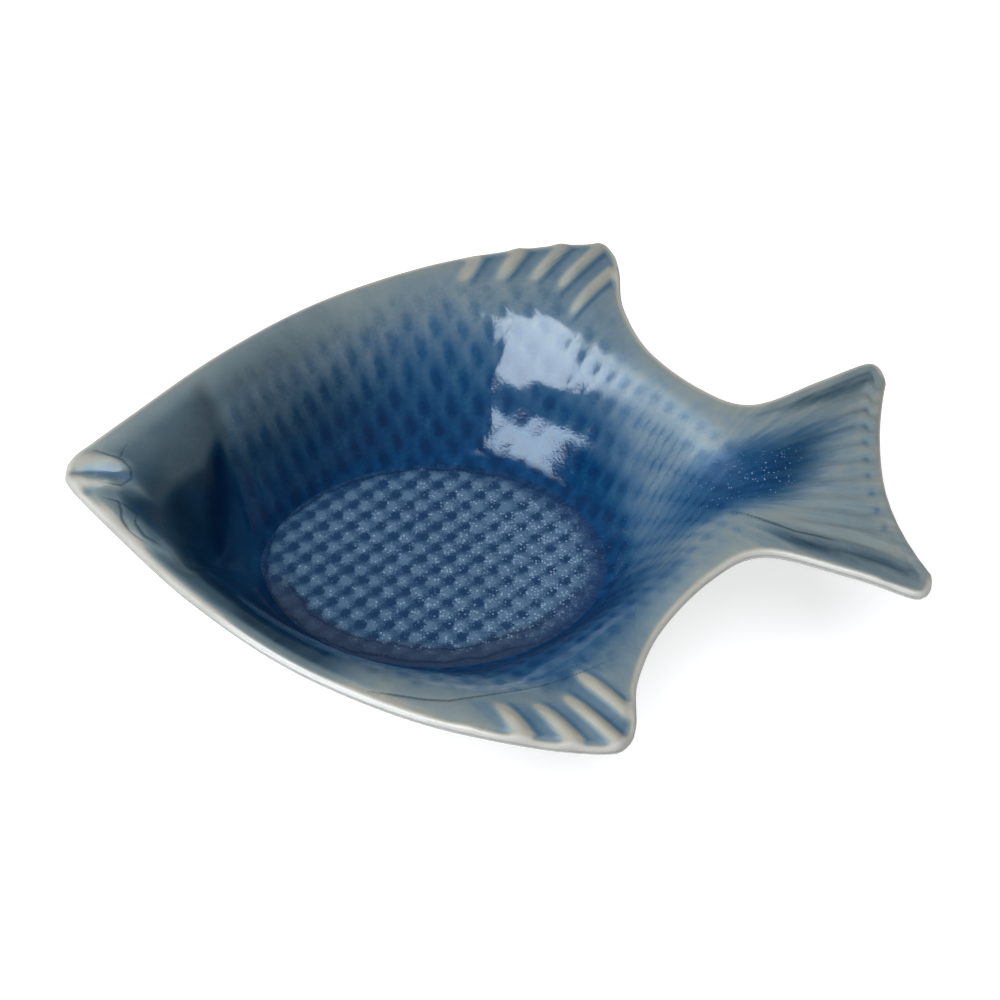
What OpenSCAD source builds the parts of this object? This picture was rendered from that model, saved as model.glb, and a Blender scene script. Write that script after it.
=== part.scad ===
// Fish-shaped stoneware serving dish.
// A deep oval well is moulded inside a fish outline: nose, two swept fins and a forked tail.
// The fired clay shell carries a blue glaze inside, a pale glaze outside and over the rim,
// and a thick glassy pool that has run down onto the floor of the well.
// +X runs from nose to tail, +Y towards the back fin, and the foot ring stands on Z = 0.

/* [Overall] */
// Length from the nose to the tip of the longer tail lobe
dish_length = 300; // [260:1:340]
// Width across the tips of the two fins
dish_width = 240; // [210:1:275]
// Height of the rim at the flanks above the table
rim_height = 60; // [52:1:68]

/* [Outline] */
// How much further the lower tail lobe reaches than the upper one
lobe_extra = 6; // [0:0.5:10]
// How far the rim dips behind the fins
rim_dip = 4.5; // [0:0.5:8]
// How far the rim falls towards the nose
nose_drop = 1; // [0:0.5:4]

/* [Well] */
// Length of the flat oval floor
floor_length = 119; // [108:1:130]
// Width of the flat oval floor
floor_width = 90; // [80:1:100]
// Distance of the floor's middle from the middle of the dish, towards the nose
floor_forward = 20; // [12:1:26]
// Height of the clay floor of the well above the table
floor_height = 8; // [7:0.5:11]

/* [Wall] */
// Thickness of the clay under the floor of the well
floor_thickness = 5.5; // [4:0.5:7]
// Amount by which the flat oval underneath is larger all round than the floor inside
underside_spread = 3; // [1:0.5:5]
// Width of the rounded rim
lip_width = 3.8; // [3:0.1:5.5]
// Thickness of the clay at the rim
lip_thickness = 3.5; // [2.8:0.1:5]

/* [Foot] */
// Width of the foot ring
foot_width = 5; // [3:0.5:8]
// Distance of the foot ring inside the edge of the flat underside
foot_inset = 7; // [5:0.5:12]

/* [Glaze] */
// Thickness of the coats of glaze inside and outside
glaze_coat = 0.5; // [0.3:0.1:0.8]
// Depth of the glassy pool on the floor
pool_depth = 1.6; // [0.8:0.1:2.4]

/* [Fins] */
// Spacing of the fin ribs, measured across them
rib_pitch = 10.7; // [8:0.1:14]
// Angle of the fin ribs from the dish's length, in degrees
rib_angle = 50; // [42:1:58]
// Distance of the hindmost rib behind the tip of the fin, measured across the ribs
rib_start = 7.1; // [4:0.1:9]
// Height of the fin ribs
rib_height = 1.6; // [0.5:0.1:2.5]
// Length of the longest fin rib, measured in from the rim
rib_length = 26; // [18:1:34]
// Length of rim that the ribs take up, measured forward from the tip of the fin
rib_zone = 62; // [40:1:80]

/* [Tail] */
// Number of rays across the tail
ray_count = 13; // [7:2:15]
// Height of the tail rays
ray_height = 0.4; // [0.2:0.1:1.2]
// Length of the rays, measured forward from the fork
ray_length = 40; // [25:1:50]

/* [Head] */
// Length of the mouth, measured back from the nose
mouth_length = 24; // [16:1:30]
// Depth of the groove between the lips
mouth_groove = 1.8; // [0.8:0.1:2.5]
// Height of the lips
mouth_lip = 1.6; // [0.5:0.1:2.5]
// Distance of each lip's ridge from the middle of the mouth
mouth_spread = 5.5; // [4:0.5:8]
// Distance of the gill cover's edge from the nose, along the middle
gill_back = 61; // [55:1:68]
// How far the gill cover's edge curves forward at the flanks
gill_curve = 17; // [8:1:24]
// Height of the gill cover
gill_height = 1.8; // [0.4:0.1:2.5]
// Depth of the groove behind the gill cover
gill_depth = 3; // [0.5:0.1:3.5]
// Width of the groove behind the gill cover
gill_width = 10; // [7:0.5:13]

/* [Hidden] */

// Ribs of the loft from nose to fork. Each row holds the rib's foot on the centre line and its end on the
// outline as shares of the length, the end's distance from the centre line as a share of the half width,
// the share of the rim's dip that it takes, and the number of steps to the next row.
outline_shares = [
    [-0.4985, -0.4985, 0.027, 0.0, 2],
    [-0.4850, -0.4850, 0.079, 0.0, 3],
    [-0.4367, -0.4367, 0.218, 0.0, 5],
    [-0.3433, -0.3367, 0.484, 0.0, 3],
    [-0.2667, -0.2200, 0.719, 0.0, 4],
    [-0.1933, -0.0867, 0.889, 0.0, 9],
    [-0.1233,  0.0400, 0.977, 0.0, 6],
    [-0.0767,  0.1267, 1.000, 0.0, 2],
    [-0.0500,  0.1507, 0.972, 0.1, 2],
    [-0.0133,  0.1600, 0.897, 0.4, 3],
    [ 0.0733,  0.1640, 0.740, 0.8, 5],
    [ 0.1667,  0.1927, 0.554, 1.0, 3],
    [ 0.2467,  0.2517, 0.378, 0.7, 2],
    [ 0.3067,  0.3133, 0.297, 0.4, 2],
    [ 0.3767,  0.3967, 0.385, 0.0, 2],
    [ 0.4267,  0.4550, 0.460, 0.0, 1],
    [ 0.4450,  0.4733, 0.442, 0.0, 2],
    [ 0.4587,  0.4787, 0.384, 0.0, 0],
];

// Share of the lip's section that is left in the first and the last two ribs, where the rim rounds off.
nose_close_shares = [0.3, 0.8];
fork_close_shares = [0.75, 0.3];

// Places of the lip's three points across its width, from the rim's edge, and below its top.
lip_across_shares = [0.62, 0.24, 0.0];
lip_drop_shares = [0.0, 0.12, 0.5];
lip_inner_drop_share = 0.16;

// How the wall climbs: the straight part of its rise, and how it levels off at flanks, head and tail.
wall_straight_share = 0.05;
flank_level_share = 0.42;
head_level_share = 0.38;
tail_level_share = 0.85;
head_level_shares = [0.33, 0.43];
tail_level_shares = [0.17, 0.31];
rib_sweep = 2;
gap_sharpness = 3;
keel_share = 0.22;

// Divisions across one half of a rib of the loft: on the floor, up the wall, and on the underside.
floor_cells = 5;
wall_cells = 7;
base_cells = 2;
flank_cells = 3;
narrow_floor_share = 0.3;
oval_passes = 4;

// Shape of the fin ribs: how long the short ones are, how sharp their crests are, and how the last one ends.
rib_short_share = 0.45;
rib_crest_power = 2.2;
rib_end_share = 0.78;
rib_fade_share = 0.47;
ray_fade_share = 0.5;
mouth_fade_share = 0.35;
lip_spread_share = 0.55;
groove_spread_share = 0.45;
gill_fade_share = 0.75;

half_width = dish_width / 2;
floor_x = -floor_forward;
floor_a = floor_length / 2;
floor_b = floor_width / 2;
under_a = floor_a + underside_spread;
under_b = floor_b + underside_spread;
underside_height = floor_height - floor_thickness;
nose_x = -dish_length / 2;
foot_a = under_a - foot_inset;
foot_b = under_b - foot_inset;
foot_sides = 72;
pool_reach_share = 1.3;

function mix(a, b, t) = a + (b - a) * t;
function limit(t) = min(1, max(0, t));
function ease(t) = let(s = limit(t)) s * s * (3 - 2 * s);
function ridge(t) = exp(-t * t);
function unit(v) = v / norm(v);

// A smooth curve through four rows, between the second and the third.
function curve(p, q, r, s, t) =
    (2 * q + (r - p) * t + (2 * p - 5 * q + 4 * r - s) * t * t + (3 * q - p - 3 * r + s) * t * t * t) / 2;

row_scale = [dish_length, dish_length, half_width, rim_dip, 0];
rows = [for (s = outline_shares) [for (c = [0:3]) s[c] * row_scale[c]]];
last_row = len(rows) - 1;
stations = [
    for (i = [0:last_row - 1])
        for (k = [0:outline_shares[i][4] - 1])
            curve(rows[max(i - 1, 0)], rows[i], rows[i + 1], rows[min(i + 2, last_row)],
                  k / outline_shares[i][4]),
    rows[last_row],
];
last = len(stations) - 1;
fork_x = stations[last][0];

function close_share(i) =
    i < len(nose_close_shares) ? nose_close_shares[i] :
    i > last - len(fork_close_shares) ? fork_close_shares[i - last + len(fork_close_shares) - 1] : 1;

// The outline at a station, on the back side (side 1) or the belly side (side -1).
lobe_x = tail_level_shares[1] * dish_length;
function lobe(x) = lobe_extra * ease((x - lobe_x) / (fork_x - lobe_x));
function edge(i, side) =
    let(s = stations[min(max(i, 0), last)])
    [s[1] + (side < 0 ? lobe(s[1]) : 0), side * s[2]];
function foot(i) = [stations[i][0], 0];
function edge_inward(i, side) =
    let(along = unit(edge(i + 1, side) - edge(i - 1, side)))
    unit(unit(foot(i) - edge(i, side)) + side * [along.y, -along.x]);
function lip_point(i, side, across) =
    edge(i, side) + edge_inward(i, side) * lip_width * across * close_share(i);
function rim_z(i) =
    let(fall = nose_x / 2)
    rim_height - stations[i][3] - nose_drop * ease((stations[i][1] - fall) / fall);

// A point on a swept rib of the loft, a share of the way out from the centre line to a given end.
function on_rib(i, end, v) = [mix(stations[i][0], end.x, pow(v, rib_sweep)), end.y * v];

// How far the wall has climbed at a point: 0 on the floor, 1 at the rim.
function beyond_oval(p, a, b) =
    let(r = norm([(p.x - floor_x) / a, p.y / b]))
    r <= 1 ? 0 : norm([p.x - floor_x, p.y]) * (1 - 1 / r);
function between(x, ends) = ease((x / dish_length - ends[0]) / (ends[1] - ends[0]));
function level_share(x) =
    flank_level_share * mix(1, head_level_share, between(-x, head_level_shares))
    * mix(1, tail_level_share, between(x, tail_level_shares));
function side_share(v) =
    let(far = norm([1, keel_share])) (far - norm([v, keel_share])) / (far - keel_share);
function rim_gap(i, p, end, v) =
    let(side_gap = norm(end - foot(i)) * side_share(v), fork_gap = fork_x - stations[i][0])
    v >= 1 || fork_gap == 0 ? 0 :
    level_share(p.x)
    * pow(pow(side_gap, -gap_sharpness) + pow(fork_gap, -gap_sharpness), -1 / gap_sharpness);
function climb(i, p, end, v, a, b) =
    let(out = beyond_oval(p, a, b), t = out == 0 ? 0 : out / (out + rim_gap(i, p, end, v)))
    wall_straight_share * t + (1 - wall_straight_share) * ease(t);

// The share of a rib of the loft that lies on a flat oval.
function flat_share(i, end, a, b, v = narrow_floor_share, passes = oval_passes) =
    passes == 0 ? v :
    let(w = 1 - pow((on_rib(i, end, v).x - floor_x) / a, 2),
        next = max(narrow_floor_share, w <= 0 ? 0 : b * sqrt(w) / abs(end.y)))
    flat_share(i, end, a, b, next, passes - 1);

// Relief that the mould leaves on the inside: mouth, gill covers, fin ribs and tail rays.
function mouth(p) =
    let(fade = ease((nose_x + mouth_length - p.x) / (mouth_length * mouth_fade_share)))
    fade * (mouth_lip * ridge((abs(p.y) - mouth_spread) / (mouth_spread * lip_spread_share))
            - mouth_groove * ridge(p.y / (mouth_spread * groove_spread_share)));
function gill(p, v) =
    let(back = p.x - nose_x - gill_back + gill_curve * pow(p.y / floor_b, 2))
    ease((1 - v) / (1 - gill_fade_share))
    * (gill_height * ridge((back + gill_width) / gill_width) - gill_depth * ridge(2 * back / gill_width));
fin_tip = [outline_shares[8][1] * dish_length, outline_shares[8][2] * half_width];
function across_ribs(p) = p.x * sin(rib_angle) - abs(p.y) * cos(rib_angle);
function fin_ribs(i, p, end) =
    let(forward = fin_tip.x - edge(i, 1).x, grow = limit(1 - forward / rib_zone),
        reach = rib_length * mix(rib_short_share, 1, grow),
        behind = across_ribs(p) - across_ribs(fin_tip) - rib_start)
    forward > rib_zone ? 0 :
    rib_height * ease(2 * grow) * ease((reach - norm(end - p)) / (rib_length / 2))
    * ease((rib_end_share - behind / rib_pitch) / rib_fade_share)
    * pow((1 + cos(360 * behind / rib_pitch)) / 2, rib_crest_power);
function tail_rays(p, v) =
    let(fade = ease((p.x - fork_x + ray_length) / (ray_length * ray_fade_share)))
    ray_height * fade * cos(180 * v * ray_count) * ease((1 - v) * ray_count);
function relief(i, p, end, v) = mouth(p) + gill(p, v) + fin_ribs(i, p, end) + tail_rays(p, v);

// Heights of the clay inside the well and underneath, along one half of a rib of the loft.
function inner_point(i, side, v) =
    let(end = lip_point(i, side, 1), p = on_rib(i, end, v),
        top = rim_z(i) - lip_thickness * lip_inner_drop_share * (2 - close_share(i)))
    [p.x, p.y, mix(floor_height, top, climb(i, p, end, v, floor_a, floor_b)) + relief(i, p, end, v)];
function outer_point(i, side, v) =
    let(end = lip_point(i, side, lip_across_shares[1]), p = on_rib(i, end, v),
        top = rim_z(i) - lip_thickness * mix(lip_drop_shares[2] + lip_inner_drop_share, 1, close_share(i)))
    [p.x, p.y, mix(underside_height, top, climb(i, p, end, v, under_a, under_b))];
function lip_top(i, side, k) =
    let(p = lip_point(i, side, lip_across_shares[k]))
    [p.x, p.y, rim_z(i) - lip_thickness * mix(lip_drop_shares[2], lip_drop_shares[k], close_share(i))];

// Shares across one half of a rib, from the centre line outwards, with one on the edge of the flat oval.
function across(flat, cells, more) =
    [for (k = [0:cells]) flat * k / cells, for (k = [1:more]) mix(flat, 1, k / more)];
function inner_shares(i, side) =
    across(flat_share(i, lip_point(i, side, 1), floor_a, floor_b), floor_cells, wall_cells);
function outer_shares(i, side) =
    let(end = lip_point(i, side, lip_across_shares[1]))
    across(flat_share(i, end, under_a, under_b), base_cells, flank_cells);

// One closed section of the shell: across the inside from belly to back, over the rim, and back underneath.
inner_cells = floor_cells + wall_cells;
outer_cells = base_cells + flank_cells;
inner_count = 2 * inner_cells + 1;
lip_count = len(lip_across_shares);
function section(i) =
    let(belly = inner_shares(i, -1), back = inner_shares(i, 1),
        belly_out = outer_shares(i, -1), back_out = outer_shares(i, 1))
    [
        for (k = [inner_cells:-1:1]) inner_point(i, -1, belly[k]),
        for (k = [0:inner_cells]) inner_point(i, 1, back[k]),
        for (k = [0:lip_count - 1]) lip_top(i, 1, k),
        for (k = [outer_cells:-1:0]) outer_point(i, 1, back_out[k]),
        for (k = [1:outer_cells]) outer_point(i, -1, belly_out[k]),
        for (k = [lip_count - 1:-1:0]) lip_top(i, -1, k),
    ];
sections = [for (i = [0:last]) section(i)];
loop_count = len(sections[0]);

// The way out of the clay at a point of a section, and a point raised by a coat of glaze.
function outward(i, k) =
    unit(cross(sections[min(i + 1, last)][k] - sections[max(i - 1, 0)][k],
               sections[i][(k + 1) % loop_count] - sections[i][(k + loop_count - 1) % loop_count]));

function coated(i, k) = sections[i][k % loop_count] + glaze_coat * outward(i, k % loop_count);

// A solid skinned over closed sections that all have the same number of points. Each section starts with
// its upper line, and each end is closed by a strip that runs between the upper and the lower line.
// A coat's lower line runs against the clay, so its faces are cut the other way to match the clay's.
module skin(loops, upper, against = false) {
    n = len(loops[0]);
    end = (len(loops) - 1) * n;
    ratio = (n - upper - 1) / (upper - 1);
    strip = [
        for (k = [0:upper - 2])
            let(a = n - 1 - round(k * ratio), b = n - 1 - round((k + 1) * ratio))
            each a == b ? [[k, k + 1, a]] : [[k, k + 1, a], [k + 1, b, a]],
    ];
    polyhedron(
        points = [for (l = loops) for (p = l) p],
        faces = [
            for (i = [0:len(loops) - 2])
                for (k = [0:n - 1])
                    let(a = i * n + k, b = i * n + (k + 1) % n,
                        turned = against && k > upper - 2 && k < n - 1)
                    each turned ? [[a, b, a + n], [b, b + n, a + n]] : [[a, b + n, a + n], [a, b, b + n]],
            for (f = strip) [f[2], f[1], f[0]],
            for (f = strip) [for (v = f) v + end],
        ]);
}

// A coat of glaze over part of every section, from one point of the loop to another.
module coat(from, to) {
    loops = [
        for (i = [0:last]) [
            for (k = [from:to]) coated(i, k),
            for (k = [to:-1:from]) sections[i][k % loop_count],
        ],
    ];
    skin(loops, len(loops[0]) / 2, true);
}

function oval(a, b, sides) =
    [for (k = [0:sides - 1]) [floor_x + a * cos(360 * k / sides), -b * sin(360 * k / sides)]];

// The foot ring that the dish stands on, let into the clay underneath.
module foot_ring() {
    linear_extrude(underside_height + floor_thickness / 2)
        difference() {
            polygon(oval(foot_a, foot_b, foot_sides));
            polygon(oval(foot_a - foot_width, foot_b - foot_width, foot_sides));
        }
}

// The fired clay shell with its foot ring.
module stoneware_body() {
    color("tan")
        union() {
            skin(sections, inner_count);
            foot_ring();
        }
}

// The blue glaze that lines the well, the fins and the tail.
module inside_glaze() {
    color("steelblue") coat(0, inner_count - 1);
}

// The pale glaze over the rim and the outside, wiped off the foot ring.
module outside_glaze() {
    color("gainsboro")
        difference() {
            coat(inner_count - 1, loop_count);
            foot_ring();
        }
}

// Everything under the glazed face of the well, down to the table.
module well_ground() {
    loops = [
        for (i = [0:last]) [
            for (k = [0:inner_count - 1]) coated(i, k),
            for (k = [inner_count - 1:-1:0]) [sections[i][k].x, sections[i][k].y, 0],
        ],
    ];
    skin(loops, inner_count);
}

// The pool of glassy glaze that has run down onto the floor and set level.
module glaze_pool() {
    color("midnightblue")
        difference() {
            translate([0, 0, underside_height])
                linear_extrude(floor_thickness + glaze_coat + pool_depth)
                    polygon(oval(floor_a * pool_reach_share, floor_b * pool_reach_share, foot_sides));
            well_ground();
        }
}

stoneware_body();
inside_glaze();
outside_glaze();
glaze_pool();
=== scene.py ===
import math

import bmesh
import bpy
import numpy as np
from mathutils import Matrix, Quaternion, Vector


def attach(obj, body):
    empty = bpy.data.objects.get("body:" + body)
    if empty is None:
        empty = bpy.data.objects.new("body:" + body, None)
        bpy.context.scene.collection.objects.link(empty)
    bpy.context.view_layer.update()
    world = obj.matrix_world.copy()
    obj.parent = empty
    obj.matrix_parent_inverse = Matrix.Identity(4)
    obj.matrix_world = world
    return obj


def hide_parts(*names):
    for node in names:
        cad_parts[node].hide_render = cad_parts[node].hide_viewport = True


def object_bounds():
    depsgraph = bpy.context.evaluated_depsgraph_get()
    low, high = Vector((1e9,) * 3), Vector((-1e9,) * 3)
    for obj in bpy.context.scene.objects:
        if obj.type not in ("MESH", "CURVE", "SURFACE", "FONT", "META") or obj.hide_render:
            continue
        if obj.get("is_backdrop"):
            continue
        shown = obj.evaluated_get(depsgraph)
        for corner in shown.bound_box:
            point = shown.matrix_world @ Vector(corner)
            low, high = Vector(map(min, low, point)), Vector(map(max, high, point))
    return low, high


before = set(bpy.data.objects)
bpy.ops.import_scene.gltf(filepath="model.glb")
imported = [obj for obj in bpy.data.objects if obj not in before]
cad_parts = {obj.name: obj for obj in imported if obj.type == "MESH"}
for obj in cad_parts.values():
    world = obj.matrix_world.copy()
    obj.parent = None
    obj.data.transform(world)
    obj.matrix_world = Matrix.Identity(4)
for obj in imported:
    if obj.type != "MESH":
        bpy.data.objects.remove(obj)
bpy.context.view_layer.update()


# The fired shell is pale stoneware, pressed as one wall into a mould with a fish outline and an oval well.
# It carries an oval foot ring underneath, wiped clean of glaze so that it doesn't stick to the kiln shelf.
mm = 0.001
nose_x, dish_length, half_width, rim_dip = -150.0, 300.0, 120.0, 4.5
floor_x, floor_level, rim_level = -20.0, 8.0, 60.0
floor_long, floor_wide, wall = 59.5, 45.0, 3.0
rib_step, rib_height, ray_step = 10.7, 1.6, 7.4
rim_inset = 3.8

# Each row is a rib: its foot on the centre line and its end on the outline (shares of the length), the half
# width there and the rim's dip (shares of the greatest).
outline_rows = np.array([
    [-0.4985, -0.4985, 0.027, 0.0], [-0.4850, -0.4850, 0.079, 0.0], [-0.4367, -0.4367, 0.218, 0.0],
    [-0.3433, -0.3367, 0.484, 0.0], [-0.2667, -0.2200, 0.719, 0.0], [-0.1933, -0.0867, 0.889, 0.0],
    [-0.1233, 0.0400, 0.977, 0.0], [-0.0767, 0.1267, 1.000, 0.0], [-0.0500, 0.1507, 0.972, 0.1],
    [-0.0133, 0.1600, 0.897, 0.4], [0.0733, 0.1640, 0.740, 0.8], [0.1667, 0.1927, 0.554, 1.0],
    [0.2467, 0.2517, 0.378, 0.7], [0.3067, 0.3133, 0.297, 0.4], [0.3767, 0.3967, 0.385, 0.0],
    [0.4267, 0.4550, 0.460, 0.0], [0.4450, 0.4733, 0.442, 0.0], [0.4587, 0.4787, 0.384, 0.0],
]) * [dish_length, dish_length, half_width, rim_dip]
fork_x = outline_rows[-1, 0]


def mix(a, b, share):
    return a + (b - a) * share


def ease(t):
    t = np.clip(t, 0.0, 1.0)
    return t * t * (3 - 2 * t)


def ridge(t):
    return np.exp(-np.square(t))


def row_at(place):
    """The outline's row at a place between the rows, on a smooth curve through them."""
    i = np.clip(np.floor(place).astype(int), 0, len(outline_rows) - 2)
    t = (place - i)[:, None]
    p, q, r, s = (outline_rows[np.clip(i + k, 0, len(outline_rows) - 1)] for k in (-1, 0, 1, 2))
    straight = 2 * q + (r - p) * t
    bent = (2 * p - 5 * q + 4 * r - s) * t ** 2 + (3 * q - p - 3 * r + s) * t ** 3
    return (straight + bent) / 2


def even_rows(count):
    """Rows from nose to fork, spaced evenly along the rim and the centre line together."""
    places = np.linspace(0, len(outline_rows) - 1, 4000)
    steps = np.diff(row_at(places), axis=0)
    travel = np.concatenate([[0], np.cumsum(np.hypot(steps[:, 1], steps[:, 2]) + np.abs(steps[:, 0]))])
    return row_at(np.interp(np.linspace(0, travel[-1], count + 1), travel, places)).T


class FishLines:
    """Lines for a grid of long by wide cells: the rim's loop, and ribs that end a little inside it."""

    def __init__(self, long, wide, inset):
        self.long, self.wide = long, wide
        axis, edge_x, edge_y, dip = even_rows(long)
        lobe = 6 * ease((edge_x - 93) / (fork_x - 93))
        belly, back = np.stack([edge_x + lobe, -edge_y], 1), np.stack([edge_x, edge_y], 1)
        share = np.linspace(-1, 1, wide + 1)
        rim = rim_level - dip - ease(2 * edge_x / nose_x - 1)

        def rib(i):
            end = np.where(share[:, None] < 0, belly[i], back[i])
            return np.stack([mix(axis[i], end[:, 0], share ** 2), np.abs(share) * end[:, 1]], 1)

        self.loop = np.concatenate([belly[:-1], rib(-1)[:-1], back[:0:-1], rib(0)[:0:-1]])
        fork_rim, nose_rim = np.full(wide, rim[-1]), np.full(wide, rim[0])
        self.loop_rim = np.concatenate([rim[:-1], fork_rim, rim[:0:-1], nose_rim])
        self.round_the_loop()
        belly_end = self.at(np.arange(long + 1), inset)
        back_end = self.at(2 * long + wide - np.arange(long + 1), inset)
        self.share = np.broadcast_to(share, (long + 1, wide + 1))
        self.end = np.where(self.share[..., None] < 0, belly_end[:, None], back_end[:, None])
        spread = [np.broadcast_to(a[:, None], self.share.shape) for a in (axis, edge_x, rim)]
        self.axis, self.edge_x, self.rim = spread
        from_nose, to_fork = ease((axis - axis[0]) / 20), ease((axis - axis[-1] + 20) / 20)
        foot = axis + inset * (1 - from_nose) - inset * to_fork
        self.x = mix(foot[:, None], self.end[..., 0], self.share ** 2)
        self.y = np.abs(self.share) * self.end[..., 1]
        at_nose, at_fork = 2 * (long + wide) - np.arange(wide + 1), long + np.arange(wide + 1)
        for row, places in ((0, at_nose), (-1, at_fork)):
            off = self.at(places, inset) - np.stack([self.x[row], self.y[row]], 1)
            near = 1 - ease(np.abs(axis - axis[row]) / 15)[:, None]
            self.x, self.y = self.x + near * off[:, 0], self.y + near * off[:, 1]

    def round_the_loop(self):
        """Rounds the loop's corners a little and finds the way out at each of its points."""
        closed = np.vstack([self.loop, self.loop[:1]])
        run = np.concatenate([[0], np.cumsum(np.hypot(*np.diff(closed, axis=0).T))])
        even = np.linspace(0, run[-1], 4096, endpoint=False)
        waves = np.fft.rfftfreq(len(even), even[1])[:, None]

        def soften(a, reach):
            fade = np.exp(-2 * (np.pi * waves * reach) ** 2)
            return np.fft.irfft(np.fft.rfft(a, axis=0) * fade, len(even), axis=0)

        def back_on_loop(a):
            a = np.vstack([a, a[:1]])
            return np.stack([np.interp(run[:-1], np.append(even, run[-1]), a[:, k]) for k in (0, 1)], 1)

        line = soften(np.stack([np.interp(even, run, closed[:, k]) for k in (0, 1)], 1), 0.8)
        way = np.roll(line, -1, 0) - np.roll(line, 1, 0)
        out = soften(np.stack([way[:, 1], -way[:, 0]], 1) / np.linalg.norm(way, axis=1)[:, None], 1.6)
        self.loop, self.out = back_on_loop(line), back_on_loop(out)
        self.out /= np.linalg.norm(self.out, axis=1)[:, None]

    def at(self, places, inset):
        places = places % len(self.loop)
        return self.loop[places] - inset * self.out[places]

    def climb(self, long_half, wide_half):
        """How far the wall has climbed: 0 on the flat oval, 1 at the rim."""
        dx = self.x - floor_x
        reach = np.hypot(dx / long_half, self.y / wide_half)
        beyond = np.hypot(dx, self.y) * (1 - 1 / np.maximum(reach, 1))
        along = self.x / dish_length
        at_nose, at_tail = ease((-along - 0.33) / 0.10), ease((along - 0.17) / 0.14)
        level = 0.42 * mix(1, 0.38, at_nose) * mix(1, 0.85, at_tail)
        keel, share = 0.22, np.abs(self.share)
        side = np.hypot(self.end[..., 0] - self.axis, self.end[..., 1])
        side = side * (np.hypot(1, keel) - np.hypot(share, keel)) / (np.hypot(1, keel) - keel)
        fork = fork_x - self.axis
        gap = level * (np.maximum(side, 1e-6) ** -3 + np.maximum(fork, 1e-6) ** -3) ** (-1 / 3)
        t = beyond / np.maximum(beyond + gap, 1e-9)
        return 0.05 * t + 0.95 * ease(t)


def moulding(lines):
    """Height that the mould adds to the plain well: lips, gill covers, fin ribs and tail rays."""
    x, y, share = lines.x, lines.y, np.abs(lines.share)
    mouth = ease((nose_x + 24 - x) / 8.4) * (1.1 * ridge((np.abs(y) - 5.5) / 3.0) - 1.3 * ridge(y / 2.5))
    behind = x - nose_x - 61 + 17 * (y / 45) ** 2
    gill = ease((1 - share) / 0.25) * (1.8 * ridge((behind + 10) / 10) - 3 * ridge(behind / 5))
    rays = 0.35 * ease((x - fork_x + 40) / 20) * tail_waves(lines) * ease((1 - share) * 6)
    crests, _, _ = fin_ribs(lines)
    return mouth + gill + rays + rib_height * crests


def tail_waves(lines):
    """Waves across the tail, 1 on each ray and -1 in each groove."""
    return -np.cos(2 * np.pi * (46 * lines.share + 1) / ray_step)


def fin_ribs(lines, longer=0.0, further=0.0):
    """Shares of the fins' ribs and of the grooves between them, and how far past a rib a place is."""
    forward = 45.2 - lines.edge_x
    grow = np.clip(1 - forward / 62, 0, 1)
    deep = 26 * mix(0.45, 1, grow) + longer
    inward = np.hypot(lines.end[..., 0] - lines.x, lines.end[..., 1] - lines.y)
    swept = 0.766 * lines.x - 0.643 * np.abs(lines.y)
    upright = 0.32 * np.clip(forward / 50, 0, 1) - 0.02
    from_edge = np.abs(lines.end[..., 1]) - np.abs(lines.y)
    past_rib = swept - upright * from_edge + np.where(lines.y < 0, 31.9, 33.3)
    crest = ((1 + np.cos(2 * np.pi * past_rib / rib_step)) / 2) ** 2.2
    zone = ease((2 + further) * grow) * ease((-25 - swept) / 5) * (forward < 62)
    grooves = zone * (1 - crest) * ease((deep - inward - 1) / 7)
    return zone * crest * ease((deep - inward) / 13), grooves, np.mod(past_rib, rib_step)


def well_height(lines):
    """Height of the glazed face of the well, without the scales."""
    return mix(floor_level, lines.rim - 0.56, lines.climb(floor_long, floor_wide)) + 0.5 + moulding(lines)


def under_height(lines):
    """Height of the clay face underneath."""
    return mix(2.5, lines.rim - 3.5, lines.climb(floor_long + wall, floor_wide + wall))


def round_the_edge(grid):
    """What a grid holds along its edge, in the order of the rim's loop."""
    return np.concatenate([grid[:-1, 0], grid[-1, :-1], grid[:0:-1, -1], grid[0, :0:-1]])


def lay_grid(bm, lines, height):
    """Adds a grid of the lines' cells at a height. Returns its vertices by cell, and its edge loop."""
    made = bmesh.ops.create_grid(bm, x_segments=lines.long, y_segments=lines.wide, size=1.0)["verts"]
    cells = np.empty(lines.share.shape, object)
    for vert in made:
        i = round((vert.co.x + 1) / 2 * lines.long)
        j = round((vert.co.y + 1) / 2 * lines.wide)
        vert.co = Vector((lines.x[i, j], lines.y[i, j], height[i, j])) * mm
        cells[i, j] = vert
    return cells, list(round_the_edge(cells))


def loop_edges(bm, loop):
    return [bm.edges.get((a, b)) for a, b in zip(loop, loop[1:] + loop[:1])]


def grown_from(vert, new):
    """The new vertex that an extrusion grew from this one."""
    return next(e.other_vert(vert) for e in vert.link_edges if e.other_vert(vert) in new)


def roll_edge(bm, loop, lines, steps, lift=0.0):
    """Draws the edge loop on over the rim. Each step is a distance inside the outline, a height above the
    rim and the share of the lift that it takes. Returns the loops in that order."""
    loops = []
    for inset, rise, share in steps:
        made = bmesh.ops.extrude_edge_only(bm, edges=loop_edges(bm, loop))["geom"]
        new = {g for g in made if isinstance(g, bmesh.types.BMVert)}
        loop = [grown_from(v, new) for v in loop]
        place = lines.at(np.arange(len(loop)), inset)
        level = lines.loop_rim + rise + share * lift
        for vert, (x, y), z in zip(loop, place, level):
            vert.co = Vector((x, y, z)) * mm
        loops.append(loop)
    return loops


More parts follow.
